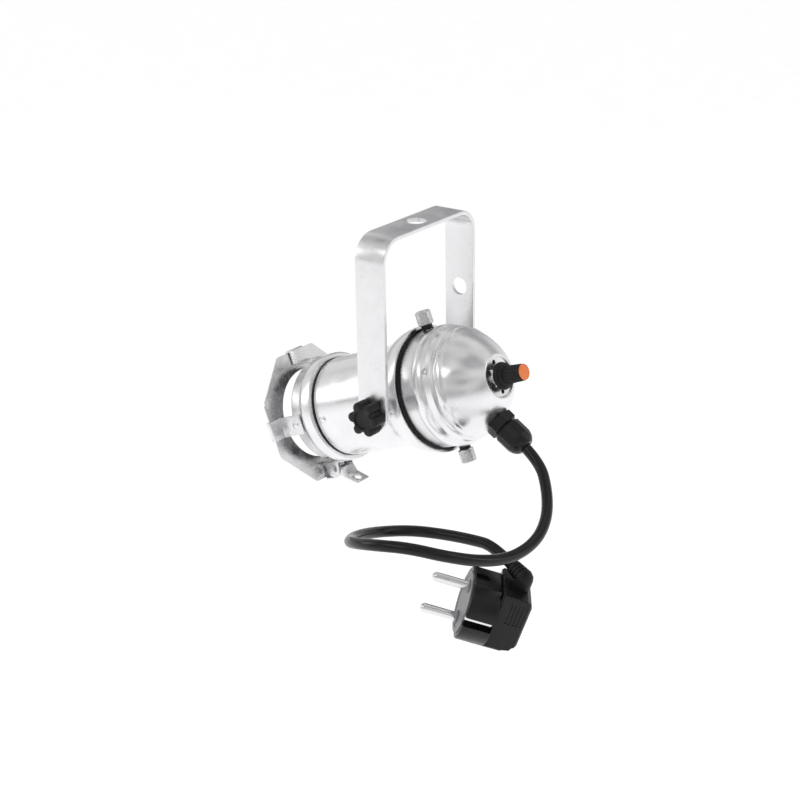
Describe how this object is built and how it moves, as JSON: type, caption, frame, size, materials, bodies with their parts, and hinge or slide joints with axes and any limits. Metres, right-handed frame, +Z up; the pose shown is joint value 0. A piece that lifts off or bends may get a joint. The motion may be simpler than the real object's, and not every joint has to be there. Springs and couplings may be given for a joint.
{
  "type": "par can light",
  "caption": "Small polished par can spotlight on a hanging yoke, with colour frame, rear dimmer knob, cable gland, supply cord and angled mains plug.",
  "frame": {"origin": "centre of the hanging hole on the top face of the yoke's crossbar", "axes": "+Z up along the hanging hole, +Y towards the side the beam points to, +X to the right seen from behind the lamp"},
  "size_m": [0.1683, 0.1954, 0.1928],
  "materials": {
    "brushed_aluminium": "brushed strap",
    "polished_aluminium": "spun and polished",
    "plain_aluminium": "mill finish sheet",
    "zinc_steel": "bright zinc plated",
    "matt_black_plastic": "fine matt grain",
    "gloss_black_plastic": "moulded satin gloss",
    "orange_plastic": "satin insert",
    "grey_plastic": "fine ribbed face",
    "black_rubber": "soft matt",
    "black_cord": "smooth jacket",
    "nickel_pins": "nickel plated",
    "brass_bush": "turned brass",
    "ceramic": "glazed ceramic",
    "lamp_mirror": "mirror coated bowl",
    "clear_glass": "clear glass"
  },
  "bodies": {
    "yoke": {"yoke_strap": "brushed_aluminium", "left_tilt_washer": "zinc_steel", "right_tilt_washer": "zinc_steel"},
    "left_knob": {"left_clamp_knob": "matt_black_plastic", "left_clamp_stud": "zinc_steel"},
    "right_knob": {"right_clamp_knob": "matt_black_plastic", "right_clamp_stud": "zinc_steel"},
    "upper_screw": {"upper_thumbscrew": "zinc_steel"},
    "lower_screw": {"lower_thumbscrew": "zinc_steel"},
    "dimmer_control": {"dimmer_shaft": "zinc_steel", "dimmer_knob": "matt_black_plastic", "knob_cap": "orange_plastic"},
    "latch": {"latch_lever": "zinc_steel"},
    "can": {"barrel": "polished_aluminium", "barrel_rivets": "polished_aluminium", "bracket_screws": "zinc_steel", "cap_spigot": "plain_aluminium", "clip_rivets": "polished_aluminium", "colour_frame": "plain_aluminium", "dimmer_body": "matt_black_plastic", "dimmer_nut": "zinc_steel", "earth_lug": "brass_bush", "front_ring": "polished_aluminium", "gland_body": "gloss_black_plastic", "gland_locknut": "gloss_black_plastic", "gland_nut": "gloss_black_plastic", "holder_bracket": "zinc_steel", "inner_leads": "black_rubber", "lamp_base": "ceramic", "lamp_burner": "clear_glass", "lamp_glass": "clear_glass", "lamp_pins": "zinc_steel", "lamp_reflector": "lamp_mirror", "lamp_retainer": "zinc_steel", "lampholder": "ceramic", "latch_bracket": "zinc_steel", "latch_pin": "zinc_steel", "latch_spring": "zinc_steel", "left_frame_clip": "plain_aluminium", "left_pivot_boss": "polished_aluminium", "plug_body": "gloss_black_plastic", "plug_cover": "gloss_black_plastic", "plug_earth_strips": "nickel_pins", "plug_face": "grey_plastic", "plug_pins": "nickel_pins", "plug_relief": "black_rubber", "rear_cap": "polished_aluminium", "rear_gasket": "black_rubber", "right_frame_clip": "plain_aluminium", "right_pivot_boss": "polished_aluminium", "supply_cord": "black_cord", "terminal_block": "ceramic", "thumb_bushes": "brass_bush", "top_frame_clip": "plain_aluminium"}
  },
  "joints": [
    {"name": "can_tilt", "type": "hinge", "parent": "yoke", "child": "can", "pos_m": [0, 0, -0.0935], "axis": [1, 0, 0], "range_deg": [-69, 111]},
    {"name": "left_knob_turn", "type": "hinge", "parent": "can", "child": "left_knob", "pos_m": [-0.0445, 0, -0.0935], "axis": [-1, 0, 0], "range_deg": [0, 720]},
    {"name": "right_knob_turn", "type": "hinge", "parent": "can", "child": "right_knob", "pos_m": [0.0445, 0, -0.0935], "axis": [1, 0, 0], "range_deg": [0, 720]},
    {"name": "upper_screw_turn", "type": "hinge", "parent": "can", "child": "upper_screw", "pos_m": [0, -0.00538, -0.05394], "axis": [0, 0.3584, 0.9336], "range_deg": [0, 720]},
    {"name": "lower_screw_turn", "type": "hinge", "parent": "can", "child": "lower_screw", "pos_m": [0, -0.03047, -0.11929], "axis": [0, -0.3584, -0.9336], "range_deg": [0, 720]},
    {"name": "dimmer_turn", "type": "hinge", "parent": "can", "child": "dimmer_control", "pos_m": [0, -0.05602, -0.072], "axis": [0, -0.9336, 0.3584], "range_deg": [0, 280]},
    {"name": "latch_press", "type": "hinge", "parent": "can", "child": "latch", "pos_m": [0, 0.0546, -0.14938], "axis": [-1, 0, 0], "range_deg": [0, 28], "stiffness_Nm_per_rad": 0.02, "springref_deg": -34.38}
  ]
}
